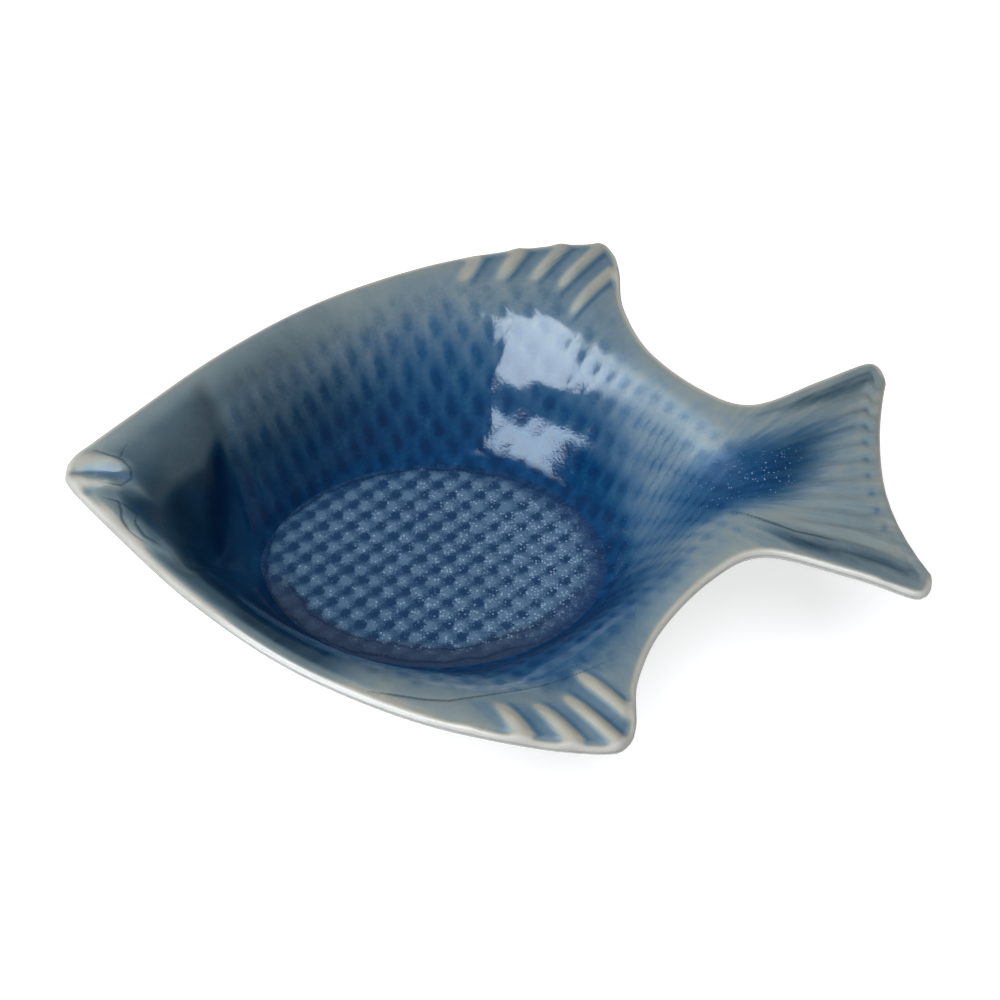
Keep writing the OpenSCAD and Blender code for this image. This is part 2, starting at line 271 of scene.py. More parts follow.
def finish_piece(name, bm, node):
    """Makes the mesh an object that stands for its solid and moves with the dish."""
    bmesh.ops.recalc_face_normals(bm, faces=bm.faces)
    mesh = bpy.data.meshes.new(name)
    bm.to_mesh(mesh)
    bm.free()
    mesh.polygons.foreach_set("use_smooth", np.full(len(mesh.polygons), True))
    piece = bpy.data.objects.new(name, mesh)
    bpy.context.scene.collection.objects.link(piece)
    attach(piece, "root")
    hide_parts(node)
    return piece


class Shade:
    """A shader value: sums and products of it add Math nodes, and node() adds any other node."""

    def __init__(self, tree, socket=None):
        self.tree, self.socket = tree, socket

    def node(self, kind, settings=None, sockets=None, out=0):
        made = self.tree.nodes.new("ShaderNode" + kind)
        for name, value in (settings or {}).items():
            if name == "stops":
                ramp = made.color_ramp.elements
                while len(ramp) < len(value):
                    ramp.new(0.5)
                for stop, (place, colour) in zip(ramp, value):
                    stop.position, stop.color = place, (*colour, 1.0)
            else:
                setattr(made, name, value)
        for name, value in (sockets or {}).items():
            if isinstance(value, Shade):
                self.tree.links.new(value.socket, made.inputs[name])
            else:
                made.inputs[name].default_value = value
        return Shade(self.tree, made.outputs[out])

    def sum(self, operation, a, b=0.0, c=0.0):
        return self.node("Math", {"operation": operation}, {0: a, 1: b, 2: c})

    def __add__(self, other):
        return self.sum("ADD", self, other)

    def __radd__(self, other):
        return self.sum("ADD", other, self)

    def __sub__(self, other):
        return self.sum("SUBTRACT", self, other)

    def __rsub__(self, other):
        return self.sum("SUBTRACT", other, self)

    def __mul__(self, other):
        return self.sum("MULTIPLY", self, other)

    def __rmul__(self, other):
        return self.sum("MULTIPLY", other, self)

    def __truediv__(self, other):
        return self.sum("DIVIDE", self, other)

    def __rtruediv__(self, other):
        return self.sum("DIVIDE", other, self)

    def __pow__(self, other):
        return self.sum("POWER", self, other)

    def step(self, low, high):
        """0 below low, 1 above high, with a soft change between them; low may be the larger."""
        ends = {0: self, 1: low, 2: high, 3: 0.0, 4: 1.0}
        return self.node("MapRange", {"interpolation_type": "SMOOTHSTEP"}, ends)

    def tint(self, share, colour):
        """This colour turned towards another by a share."""
        return self.node("Mix", {"data_type": "RGBA"}, {0: share, 6: self, 7: colour}, out=2)


def open_material(piece, name):
    """A new material on a piece. Returns a shader value, the Principled node and the place in mm."""
    material = bpy.data.materials.new(name)
    material.use_nodes = True
    piece.data.materials.append(material)
    tree = material.node_tree
    start = Shade(tree)
    place = start.node("TexCoord", out=3)
    place = start.node("VectorMath", {"operation": "SCALE"}, {0: place, 3: 1000.0})
    return start, tree.nodes["Principled BSDF"], place


def fit(body, **sockets):
    """Sets or links the sockets of a Principled node, with spaces in their names as underlines."""
    for name, value in sockets.items():
        socket = body.inputs[name.replace("_", " ")]
        if isinstance(value, Shade):
            value.tree.links.new(value.socket, socket)
        else:
            socket.default_value = value


clay_below, clay_above = 1.4, 0.1
bm = bmesh.new()
lines = FishLines(90, 80, rim_inset)
_, upper = lay_grid(bm, lines, well_height(lines) - clay_below)
upper = roll_edge(bm, upper, lines, [(2.6, -1.5, 0), (1.6, -1.8, 0)])[-1]
lines = FishLines(90, 80, 1.4)
_, lower = lay_grid(bm, lines, under_height(lines) + clay_above)
bmesh.ops.bridge_loops(bm, edges=loop_edges(bm, upper) + loop_edges(bm, lower))

# The foot ring: its section goes down the outside, along the table and up the inside.
ring_long, ring_wide = 55.5, 41.0
ring_steps = [(0, 3.2), (0, 0.9), (0.9, 0), (4.1, 0), (5, 0.9), (5, 3.2)]
ring = bmesh.ops.create_circle(bm, segments=160, radius=1.0)["verts"]
ring_edges = list({e for v in ring for e in v.link_edges})
turns = [(v, math.atan2(v.co.y, v.co.x)) for v in ring]
first_edges = ring_edges
for step, (inset, height) in enumerate(ring_steps):
    if step:
        made = bmesh.ops.extrude_edge_only(bm, edges=ring_edges)["geom"]
        new = {g for g in made if isinstance(g, bmesh.types.BMVert)}
        ring_edges = [g for g in made if isinstance(g, bmesh.types.BMEdge) and set(g.verts) <= new]
        turns = [(grown_from(v, new), turn) for v, turn in turns]
    for vert, turn in turns:
        out_x, out_y = (ring_long - inset) * math.cos(turn), (ring_wide - inset) * math.sin(turn)
        vert.co = Vector((floor_x + out_x, out_y, height)) * mm
bmesh.ops.bridge_loops(bm, edges=first_edges + ring_edges)
clay_shell = finish_piece("clay_shell", bm, "stoneware_body")

start, body, place = open_material(clay_shell, "bare_stoneware")
grog = start.node("TexNoise", None, {"Vector": place, "Scale": 0.9, "Detail": 5.0, "Roughness": 0.6})
speckle = start.node("TexVoronoi", None, {"Vector": place, "Scale": 1.4}).step(0.22, 0.10)
buff = [(0.3, (0.56, 0.47, 0.36)), (0.7, (0.68, 0.60, 0.48))]
colour = start.node("ValToRGB", {"stops": buff}, {0: grog})
colour = colour.tint(speckle * 0.35, (0.36, 0.27, 0.18, 1.0))
grain = start.node("Bump", None, {"Strength": 0.35, "Distance": 0.0003, "Height": grog - speckle * 0.4})
fit(body, Base_Color=colour, Roughness=grog * 0.2 + 0.7, Normal=grain)


# The blue glaze lines the well, the fins and the tail, and rounds the rim. It is poured in, runs down and
# fires glossy: thin and pale over lips, ribs and scale edges, thick and dark in hollows and low down.
lines = FishLines(300, 264, rim_inset)
x, y = lines.x, lines.y
rimward = np.hypot(lines.end[..., 0] - x, lines.end[..., 1] - y)
inward = np.minimum(rimward, np.minimum(fork_x - rim_inset - lines.axis, lines.axis - nose_x))
_, grooves, past_rib = fin_ribs(lines)
rib_wash, groove_wash, _ = fin_ribs(lines, 4.0, np.where(y < 0, 0.0, 4.0))
on_fin = np.where(y < 0, ease((lines.edge_x + 1) / 6), 1)
rib_wash, groove_wash = rib_wash * on_fin, groove_wash * on_fin
on_ribs = np.clip(rib_wash + groove_wash, 0, 1)
plain = well_height(lines)
far_off = 12.0


def from_line(points):
    """Distance from a line drawn through points, up to far_off. A point's third number is added to the
    distance there, which thins the line."""
    nearest = np.full(x.shape, far_off)
    points = [(*point, 0.0)[:3] for point in points]
    for (x0, y0, more0), (x1, y1, more1) in zip(points, points[1:]):
        along = ((x - x0) * (x1 - x0) + (y - y0) * (y1 - y0)) / ((x1 - x0) ** 2 + (y1 - y0) ** 2)
        along = np.clip(along, 0, 1)
        off = np.hypot(x - mix(x0, x1, along), y - mix(y0, y1, along)) + mix(more0, more1, along)
        nearest = np.minimum(nearest, off)
    return nearest


# Lines cut in the mould: two belly folds, the tail fold, the lips' outline, and wrinkles on cheek and chin.
belly_fold = from_line([(-40, -97, 0.5), (-30, -98.5), (-20, -100), (-12, -100), (4, -94), (20, -88),
                        (34, -83, 0.1), (47, -77, 0.5)])
upper_fold = from_line([(2, -90, 0.6), (18, -84, 0.25), (32, -79, 0.25), (45, -72, 0.6)])
tail_fold = from_line([(81, -11.5, 0.5), (86, -14, 0.2), (95, -20), (105, -26), (113, -29),
                       (121, -32.5, 0.6)])
lips_line = from_line([(-146, 8.5, 0.4), (-140, 9), (-135, 6.5), (-130, 5), (-127, 2), (-126, -3),
                       (-129, -7, 0.1), (-132, -7, 0.3), (-137, -6, 0.7)])
cheek_line = from_line([(-131, 6, 0.2), (-130, 11, 0.2), (-128, 15, 0.7)])
chin_line = from_line([(-134.5, -13, 0.5), (-129, -14.7), (-127.5, -19), (-127, -23), (-123.5, -29),
                       (-116.5, -34.7, 0.5)])
jaw_line = from_line([(-129, -14.7, 0.3), (-122, -19.5, 0.1), (-122, -25, 0.1), (-118, -31),
                      (-111.6, -36, 0.5)])
cut_lines = [belly_fold, upper_fold, tail_fold, lips_line, cheek_line, chin_line, jaw_line]
fold = np.minimum.reduce(cut_lines)

# Scales lie in offset rows, pressed in from above, so they stretch on the wall.
scale_long, scale_wide = 10.56, 10.48
first_a, first_b = 1.45, -2.62
low_wall, wall_band, high_wall, side_wall = 43.9, 19.3, 63.2, 49.0
low_draw, high_draw, side_draw = 0.09, 0.218, 0.063
aside = np.abs(y)
row_y = aside + low_draw * np.clip(aside - low_wall, 0, wall_band)
row_y = np.sign(y) * (row_y - high_draw * np.maximum(aside - high_wall, 0))
row_x = x + side_draw * np.maximum(aside - side_wall, 0)
turn_a = 2 * np.pi * (row_x / scale_long + row_y / scale_wide) + first_a
turn_b = 2 * np.pi * (row_x / scale_long - row_y / scale_wide) + first_b
hollow = (1 + np.cos(turn_a)) / 2 * ((1 + np.cos(turn_b)) / 2) ** 0.6
front = np.interp(y, [-60, -15, 3, 10, 15, 23, 30, 41, 60],
                  [-84, -85, -86, -90, -94, -97, -100, -100, -98])
scaled = ease((x - front) / 5) * (1 - ease((x - 84) / 10)) * ease((y + 97) / 8)
scaled *= ease((inward - mix(6, 2, ease((x - 45) / 15))) / 10) * (1 - ease(2 * on_ribs))

# Dimples run down the tail's edge, one at the foot of each ray.
to_fork = np.interp(y, y[-1], x[-1]) - x
dimple = ridge((to_fork - 1.6) / 1.5) * ((1 - tail_waves(lines)) / 2) ** 3
dimple *= ease((y + 30) / 4) * ease((36 - y) / 4)

scale_cut, dimple_cut, fold_cut = 0.14, 0.25, 0.25
height = plain - scale_cut * scaled * (hollow - 0.3) - dimple_cut * dimple - fold_cut * ridge(fold / 0.9)

# The glaze is thicker the lower it lies, and it runs off lips, ribs and the rim. The wall nearest the belly
# is thickly covered, up to a paler flange beside the belly fin.
near_side = ease((-y - 20) / 30) * (1 - ease((x - 62) / 14))
flange = near_side * ease((plain - mix(40, 50, ease((x - 5) / 20))) / 9) * ease((x + 62) / 26)
thick = np.interp(plain - 11 * (near_side - flange), [8, 16, 30, 40, 47, 52, 56, 59, 60.5],
                  [0.92, 0.90, 0.80, 0.66, 0.54, 0.45, 0.38, 0.32, 0.30])
belly_wall = ease((-y - 15) / 15) * ease((x - 5) / 20) * (1 - ease((x - 62) / 12))
thick += 0.12 * belly_wall * ease((46 - plain) / 10)
thick += 0.22 * near_side * ease((-30 - x) / 32) * ease(inward / 4) * ease((30 - inward) / 16)
thick -= 0.03 * flange
thick += 0.09 * ease((-50 - x) / 30) * ease((y - 20) / 10) * ease((plain - 48) / 6)
thick = mix(thick, np.where(y < 0, 0.43, 0.42), groove_wash)
thick += 0.18 * groove_wash * ridge((past_rib - 3.2) / 1.1)
thick = mix(thick, np.where(y < 0, 0.15, 0.18), ease(np.where(y < 0, 1.9, 1.6) * rib_wash))

# The head is greyer, with a dark hollow between the cheek and the scales: thick glaze and painted shade.
head = ease((-94 - x) / 10)
cheek = np.interp(y, [-45, -32, -25, -15, -8, 1, 9, 16, 22, 30, 34],
                  [-92, -104, -110, -115, -116, -115, -111, -106, -104, -101, -100])
deep = ease((x - cheek) / 5) * ease((front + 3 - x) / 4) * ease((34 - y) / 8) * ease((y + 60) / 20)
cheek_depth = mix(0.34, 0.55, ease((inward - 2) / 15))
cheek_depth += 0.2 * ease((-6 - y) / 14) * ease((inward - 5) / 8)
thick = mix(thick, cheek_depth, head)

# The chin's edge goes from pale to dark within a few millimetres, and more slowly towards the nose.
chin = ease((-y - 12) / 8) * ease((-78 - x) / 14)
chin_depth = inward + np.interp(x, [-130, -122, -112], [-1.5, 0, 4])
chin_depth = np.interp(chin_depth, [-1.5, 0, 2.5, 4, 5.5, 8], [0.10, 0.16, 0.38, 0.44, 0.56, 0.62])
thick = mix(thick, chin_depth, chin * ease((12 - inward) / 5))
gill_edge = from_line([(-102, 31), (-100, 18), (-98, 3), (-95, -12)])
# The hollow's dark is pooled glaze and painted shade of the steep wall below the cheek.
thick = mix(thick, 0.80 + 0.16 * ridge(gill_edge / 4), deep)
chin_ridge = from_line([(-131, -10, 1), (-129, -14), (-126, -21), (-121, -28), (-116, -35), (-110, -39),
                        (-106, -42), (-101, -46, 1)])
thick -= 0.15 * ridge((chin_ridge + 0.8 * np.sin(x / 2.3)) / 1.9)
thick -= 0.06 * ridge(from_line([(-112, -36, 1), (-104, -38), (-97, -37, 2)]) / 3)

# The lips are pale, with a blue cleft between them and a blue spot on the lower one.
upper_lip = from_line([(-147, 3.5), (-139, 5), (-134, 4.5), (-129, 2.5, 1)])
lower_lip = from_line([(-145, -6), (-140, -7), (-134, -7), (-130, -8, 1)])
lip_cleft = from_line([(-148, -1.5, 1), (-141, 0), (-136, 0), (-130, -2.5), (-127, -3)])
corner = from_line([(-128, -5), (-123, -8, 1), (-119, -11, 3)])
nose = ease((nose_x + 19 - x) / 12)
thick += 0.14 * ridge(np.hypot((x + 119) / 8, (y + 6) / 11))
thick -= 0.04 * ridge(np.hypot(x + 128, y - 14) / 8)
thick = mix(thick, 0.27, 0.8 * nose)
thick = mix(thick, 0.17, np.maximum(ridge(upper_lip / 2.8), ridge(lower_lip / 2.2)))
thick = mix(thick, 0.30, 0.7 * ridge(corner / 3.2))
thick = mix(thick, 0.50, ridge(lip_cleft / 1.4))
lip_spot = np.hypot(x + 140, y + 10.5)
thick += 0.22 * ridge(lip_spot / 1.8)

# A dark gully runs from the well into the tail, and the tail fans out from it, grey and streaky.
tail = ease((x - 84) / 22)
gully_off = np.abs(y - np.interp(x, [60, 80, 100, 125], [-2, 1, 5, 11]))
gully_half = np.interp(x, [50, 80, 100, 130], [20, 19, 22, 26])
gully = ease((gully_half - gully_off) / np.interp(x, [80, 110], [12, 20]))
gully *= ease((x - 52) / 28) * (1 - ease((x - 101 - 0.5 * np.maximum(y - 4, 0)) / 22))
thick = mix(thick, 0.31 + 0.03 * ease((-20 - y) / 10), tail)
thick = mix(thick, 0.82, gully)
below_fold = y - np.interp(x, [81, 95, 105, 121, 140], [-11.5, -20, -26, -32.5, -40])
thick -= 0.08 * tail * ridge((below_fold - 3.5) / 4) * (1 - gully)
thick += 0.25 * tail * ridge((below_fold + 4) / 4) * ease((x - 88) / 12)
lobe_streak = from_line([(104, 31, 2), (113, 35), (122, 38), (130, 42), (137, 46, 1)])
thick += 0.26 * ridge(lobe_streak / 2.6)
thick += 0.14 * tail * ridge((rimward - 2.4) / 1.2) * ease((y - 20) / 8)
thick = mix(thick, 0.46, dimple)
thick = mix(thick, 0.30, tail * ease((1.5 - to_fork) / 2) * (1 - dimple))
# Before the tail the wall is paler: thinner glaze over the pleats and painted light, the sheen of this lit
# wall.
before_tail = ease((x - 38) / 20) * (1 - tail) * (1 - gully)
thick -= np.interp(plain, [12, 22, 34, 46, 54], [0, 0.29, 0.26, 0.11, 0.06]) * before_tail
rim_thin = np.where(y < 0, mix(0.10, 0.03, ease((x + 30) / 20)), 0.04)
thick -= rim_thin * ease((5 - inward) / 5) * (1 - on_ribs) * (1 - chin)

# It is dull on the ribs, the nose and the pleats before the tail, and has a matt share where it has
# crystallised, most of all at the foot of the wall.
dull = 0.26 * ease((x - 34) / 24) * ease((plain - 18) / 8) * (1 - tail)
dull += 0.3 * nose + 0.25 * on_ribs
foot = np.maximum.reduce([
    ease((16.5 - plain) / 4),
    0.6 * near_side * ease((50 - plain) / 10),
    0.7 * on_ribs,
    0.6 * nose,
    0.8 * ridge(upper_lip / 3.5),
    0.75 * chin * ease((20 - inward) / 10),
    0.45 * ease((x - 46) / 14) * (1 - ease((x - 92) / 20)),
])

# The colour is greyer on the head, on the tail's lobes and high on the wall.
ash = head * (1 - 0.5 * deep)
ash += tail * (0.2 + 0.6 * ease((np.abs(y - 4) - 18) / 12)) * (1 - gully)
ash += 0.7 * ease((-20 - x) / 60) * (1 - 0.4 * ease((32 - plain) / 12))
ash += mix(0.45, 0.15, ease((x - 40) / 30)) * ease((plain - 50) / 8)
ash = np.clip(ash + 0.4 * gully * ease((x - 92) / 20), 0, 1)
ash = mix(ash, np.where(y < 0, 0.2, 0.45), on_ribs)
ash = mix(ash, 0.2, np.maximum(ridge(lip_cleft / 2.5), ridge(lip_spot / 3)))

bm = bmesh.new()
painted = {"glaze_depth": thick, "ash": ash, "scaled": scaled, "fold": fold, "dull": dull, "foot": foot}
for name in painted:
    bm.verts.layers.float.new(name)
layers = {name: bm.verts.layers.float[name] for name in painted}
cells, rim = lay_grid(bm, lines, height)
for name, values in painted.items():
    for vert, value in zip(cells.flat, values.flat):
        vert[layers[name]] = value

# The rim's roll, from the inside over the top. The glaze thins to nothing on it, later at the tail's fork.
edge_lift = round_the_edge(moulding(lines)) - 0.5 * round_the_edge(grooves)
on_chin = round_the_edge(chin)
edge_thick = np.minimum(round_the_edge(thick), mix(0.42, 0.60, on_chin))
on_fork = round_the_edge(ease((x - 131) / 4) * ease((50 - np.abs(y)) / 5))
lip_steps = [(3.1, 0.02, 0.9), (2.4, 0.04, 0.8), (1.7, 0.0, 0.7), (1.1, -0.14, 0.6),
             (0.55, -0.5, 0.4), (0.18, -1.1, 0.2), (0.0, -1.9, 0.0), (0.8, -2.1, 0.0)]
loops = roll_edge(bm, rim, lines, lip_steps, edge_lift)
rim_wash = [0.95, 0.80, 0.45, 0.12, 0.02, 0.0, 0.0, 0.0]
fork_wash = [0.98, 0.95, 0.90, 0.75, 0.50, 0.35, 0.2, 0.0]
chin_wash = [0.62, 0.30, 0.16, 0.10, 0.06, 0.03, 0.0, 0.0]
for loop, plain_wash, tail_wash, pale_wash in zip(loops, rim_wash, fork_wash, chin_wash):
    wash = mix(mix(plain_wash, tail_wash, on_fork), pale_wash, on_chin)
    for vert, depth in zip(loop, edge_thick * wash):
        vert[layers["glaze_depth"]] = depth
        vert[layers["fold"]] = far_off
        vert[layers["scaled"]] = 0.0

# The glaze's face against the clay, a little lower at its edge to clear the rim.
glaze_back, edge_drop = 1.1, 0.8
under_lines = FishLines(60, 52, 1.8)
_, under = lay_grid(bm, under_lines, well_height(under_lines) - glaze_back)
for vert in under:
    vert.co.z -= edge_drop * mm
bmesh.ops.bridge_loops(bm, edges=loop_edges(bm, loops[-1]) + loop_edges(bm, under))
well_glaze = finish_piece("well_glaze", bm, "inside_glaze")

start, body, place = open_material(well_glaze, "blue_well_glaze")
marks = [start.node("Attribute", {"attribute_name": name}, out=2) for name in painted]
depth, ashen, scaly, folded, dulled, low = marks
px, py, pz = (start.node("SeparateXYZ", None, {0: place}, out=k) for k in (0, 1, 2))


def scale_turns(px, py):
    """Waves of the two crossing lines of scales, each 1 along the hollows."""
    aside = start.sum("ABSOLUTE", py)
    on_wall = start.sum("MINIMUM", start.sum("MAXIMUM", aside - low_wall, 0.0), wall_band)
    row_y = aside + on_wall * low_draw - start.sum("MAXIMUM", aside - high_wall, 0.0) * high_draw
    row_y = row_y * start.sum("SIGN", py)
    row_x = px + start.sum("MAXIMUM", aside - side_wall, 0.0) * side_draw
    turn_a = (row_x / scale_long + row_y / scale_wide) * (2 * math.pi) + first_a
    turn_b = (row_x / scale_long - row_y / scale_wide) * (2 * math.pi) + first_b
    return [start.sum("COSINE", turn) * 0.5 + 0.5 for turn in (turn_a, turn_b)]


cloud = start.node("TexNoise", None, {"Vector": place, "Scale": 0.10, "Detail": 4.0, "Roughness": 0.55})
flow = start.node("TexNoise", None, {"Vector": place, "Scale": 0.9, "Detail": 3.0, "Roughness": 0.5})
bend = start.node("TexNoise", None, {"Vector": place, "Scale": 0.25, "Detail": 2.0})
bent_x, bent_y = px + (bend - 0.5) * 3.0, py + (flow - 0.5) * 2.0
wave_a, wave_b = scale_turns(bent_x, bent_y)

# Streaks run down the wall towards the floor, and fan out over the tail.
round_x, round_y = px - floor_x, py * 1.3
away = start.sum("SQRT", round_x * round_x + round_y * round_y)
run = start.node("CombineXYZ", None, {0: round_x / away * 26.0, 1: round_y / away * 26.0, 2: away * 0.10})
run = start.node("TexNoise", None, {"Vector": run, "Scale": 0.55, "Detail": 4.0, "Roughness": 0.6})
fan = start.sum("ARCTAN2", py + 4.0, px - 62.0)
fan = start.node("CombineXYZ", None, {0: fan * 15.0, 1: px * 0.04, 2: 0.0})
fan = start.node("TexNoise", None, {"Vector": fan, "Scale": 1.0, "Detail": 4.0, "Roughness": 0.6})
on_tail, on_head = px.step(72.0, 100.0), px.step(-70.0, -96.0)
streaks = (run - 0.5) * 0.22 * (1 - on_tail) * (1 - on_head * 0.8) + (fan - 0.5) * 0.52 * on_tail

# Each scale has a dark hollow and a pale edge. Before the tail the scales draw out into pleats.
near_a, near_b = scale_turns(bent_x + 3.2, bent_y)
net = (wave_a * wave_b ** 0.6).step(0.0, 1.0) - near_a * near_b ** 0.6 * 0.5 - 0.12
twice = wave_b * 2.0 - 1.0
pleat = (twice * twice) ** 3.0 * (0.35 + wave_a * 0.65) * 0.9 + wave_a ** 4.0 * 0.35 - 0.4
right = px.step(44.0, 62.0)
pleated = right * (1 - pz.step(46.0, 54.0) * 0.8)
worn = (0.1 + bend * 0.8 + flow * 0.8) * (1 - pz.step(46.0, 58.0) * (0.6 - right * 0.2))
pattern = (net + (pleat - net) * pleated) * worn
grit = start.node("TexNoise", None, {"Vector": place, "Scale": 0.55, "Detail": 5.0, "Roughness": 0.7})
depth = depth + scaly * pattern * (0.10 + px.step(-90.0, -20.0) * 0.07) + (cloud - 0.5) * 0.10
depth = depth + (flow - 0.5) * 0.05 + streaks * depth.step(0.12, 0.35)
depth = depth + (grit - 0.5) * (0.16 + pz.step(30.0, 14.0) * 0.16) * scaly

# Thin glaze lets the clay show through, and thick glaze is deep blue, or slate grey on the head.
blues = [
    (0.0, (0.60, 0.585, 0.54)), (0.15, (0.42, 0.40, 0.33)), (0.24, (0.27, 0.31, 0.30)),
    (0.34, (0.19, 0.27, 0.325)), (0.46, (0.100, 0.182, 0.27)), (0.58, (0.048, 0.128, 0.238)),
    (0.70, (0.018, 0.090, 0.195)), (0.82, (0.004, 0.057, 0.16)), (0.92, (0.002, 0.041, 0.128)),
    (1.0, (0.001, 0.030, 0.098)),
]
greys = [
    (0.0, (0.60, 0.585, 0.54)), (0.15, (0.40, 0.385, 0.33)), (0.24, (0.25, 0.295, 0.295)),
    (0.34, (0.18, 0.235, 0.25)), (0.46, (0.122, 0.171, 0.196)), (0.60, (0.054, 0.096, 0.126)),
    (0.75, (0.009, 0.038, 0.070)), (0.90, (0.001, 0.012, 0.038)), (1.0, (0.001, 0.006, 0.024)),
]
grey = start.node("ValToRGB", {"stops": greys}, {0: depth})
colour = start.node("ValToRGB", {"stops": blues}, {0: depth}).tint(ashen, grey)
line = (folded + (flow - 0.5) * 0.4).step(0.85, 0.20)
colour = colour.tint(line * 0.6, (0.012, 0.028, 0.045, 1.0))
spots = start.node("TexVoronoi", None, {"Vector": place, "Scale": 1.2})
chance = start.node("TexVoronoi", None, {"Vector": place, "Scale": 1.2}, out=1)
chance = start.node("SeparateColor", None, {0: chance}, out=0)
crowd = chance + (bend - 0.5) * 1.6 + px.step(60.0, 84.0) * 0.1
speck = spots.step(0.42, 0.14) * crowd.step(0.78, 1.15)
speck = speck * depth.step(0.62, 0.80) * px.step(30.0, 66.0) * py.step(20.0, 6.0)
colour = colour.tint(speck * 0.8, (0.36, 0.48, 0.62, 1.0))
skin = start.node("Bump", None, {"Strength": 0.10, "Distance": 0.0003, "Height": flow})
gloss = cloud * 0.06 + 0.06 + depth.step(0.32, 0.08) * 0.28 + dulled
fit(body, Base_Color=colour, Roughness=gloss, IOR=1.46, Normal=skin)
matt_look = {"Base Color": colour, "Roughness": 0.8, "Specular IOR Level": 0.05}
matt = start.node("BsdfPrincipled", None, matt_look)
both = start.node("MixShader", None, {0: low, 1: Shade(start.tree, body.outputs[0]), 2: matt})
start.tree.links.new(both.socket, start.tree.nodes["Material Output"].inputs[0])


# The pale glaze covers the outside from the rim down and the whole underside, up to the bare foot ring.
# It is brushed on in one even coat and fires to a warm greyish white with faint iron specks.
coat_below, coat_thick = 0.4, 0.3
bm = bmesh.new()
lines = FishLines(150, 132, 0.9)
_, edge = lay_grid(bm, lines, under_height(lines) - coat_below)
roll_edge(bm, edge, lines, [(0.35, -2.9, 0), (0.02, -2.2, 0), (0.0, -1.85, 0), (0.5, -1.75, 0)])
bmesh.ops.recalc_face_normals(bm, faces=bm.faces)
if sum(f.normal.z * f.calc_area() for f in bm.faces) > 0:
    bmesh.ops.reverse_faces(bm, faces=bm.faces)
bmesh.ops.solidify(bm, geom=list(bm.faces), thickness=coat_thick * mm)
side_glaze = finish_piece("side_glaze", bm, "outside_glaze")

start, body, place = open_material(side_glaze, "pale_side_glaze")
cloud = start.node("TexNoise", None, {"Vector": place, "Scale": 0.06, "Detail": 4.0, "Roughness": 0.55})
flow = start.node("TexNoise", None, {"Vector": place, "Scale": 0.7, "Detail": 3.0})
iron = start.node("TexVoronoi", None, {"Vector": place, "Scale": 0.22}).step(0.10, 0.04)
whites = [(0.3, (0.56, 0.56, 0.54)), (0.7, (0.66, 0.655, 0.62))]
colour = start.node("ValToRGB", {"stops": whites}, {0: cloud})
colour = colour.tint(iron * 0.5, (0.34, 0.28, 0.20, 1.0))
skin = start.node("Bump", None, {"Strength": 0.10, "Distance": 0.0003, "Height": flow})
fit(body, Base_Color=colour, Roughness=cloud * 0.1 + 0.14, IOR=1.5, Normal=skin)


# The glassy pool has run down the wall onto the floor and set level over the pressed scales.
# It is clear blue glass with a paler crystal bloom over each scale and tiny white specks.
pool_x, pool_long, pool_wide = floor_x - 1.2, 66.0, 51.0
pool_level, pool_thick, pool_cut = 10.1, 1.0, 0.12
bm = bmesh.new()
made = bmesh.ops.create_grid(bm, x_segments=132, y_segments=104, size=1.0)["verts"]
for vert in made:
    a, b = vert.co.x, vert.co.y
    px = pool_x + pool_long * a * math.sqrt(1 - b * b / 2)
    py = pool_wide * b * math.sqrt(1 - a * a / 2)
    turn_a = 2 * math.pi * (px / scale_long + py / scale_wide) + first_a
    turn_b = 2 * math.pi * (px / scale_long - py / scale_wide) + first_b
    hollow = (2 + math.cos(turn_a) + math.cos(turn_b)) / 4
    level_edge = min(1.0, max(0.0, (math.hypot(a, b) - 0.75) / 0.2))
    vert.co = Vector((px, py, pool_level - pool_cut * hollow * (1 - level_edge))) * mm
bmesh.ops.recalc_face_normals(bm, faces=bm.faces)
if bm.faces[:][0].normal.z < 0:
    bmesh.ops.reverse_faces(bm, faces=bm.faces)
bmesh.ops.solidify(bm, geom=list(bm.faces), thickness=pool_thick * mm)
floor_pool = finish_piece("floor_pool", bm, "glaze_pool")

start, body, place = open_material(floor_pool, "pooled_blue_glass")
px, py = (start.node("SeparateXYZ", None, {0: place}, out=k) for k in (0, 1))
cloud = start.node("TexNoise", None, {"Vector": place, "Scale": 0.08, "Detail": 3.0})
crumb = start.node("TexNoise", None, {"Vector": place, "Scale": 1.3, "Detail": 4.0, "Roughness": 0.65})
flow = start.node("TexNoise", None, {"Vector": place, "Scale": 0.5, "Detail": 3.0})
bent_x, bent_y = px + (flow - 0.5) * 4.5, py + (crumb - 0.5) * 3.4
wave_a, wave_b = scale_turns(bent_x, bent_y)
pale_a, pale_b = scale_turns(bent_x - 3.6, bent_y + 0.4)
dark = (wave_a * wave_b ** 0.7).step(0.26, 0.86)
patch = (pale_a * pale_b ** 0.6).step(0.0, 0.75)
bloom = 0.59 - dark * (0.22 + cloud * 0.36) - wave_b ** 2.0 * 0.27 + patch * (1 - dark) * 0.40
bloom = bloom + (crumb - 0.5) * 1.3 + (cloud - 0.5) * 0.4 + px.step(-30.0, 22.0) * 0.17
blooms = [(0.0, (0.011, 0.045, 0.112)), (0.4, (0.026, 0.075, 0.158)),
          (0.75, (0.053, 0.119, 0.208)), (1.0, (0.088, 0.168, 0.262))]
colour = start.node("ValToRGB", {"stops": blooms}, {0: bloom.step(0.0, 1.0)})

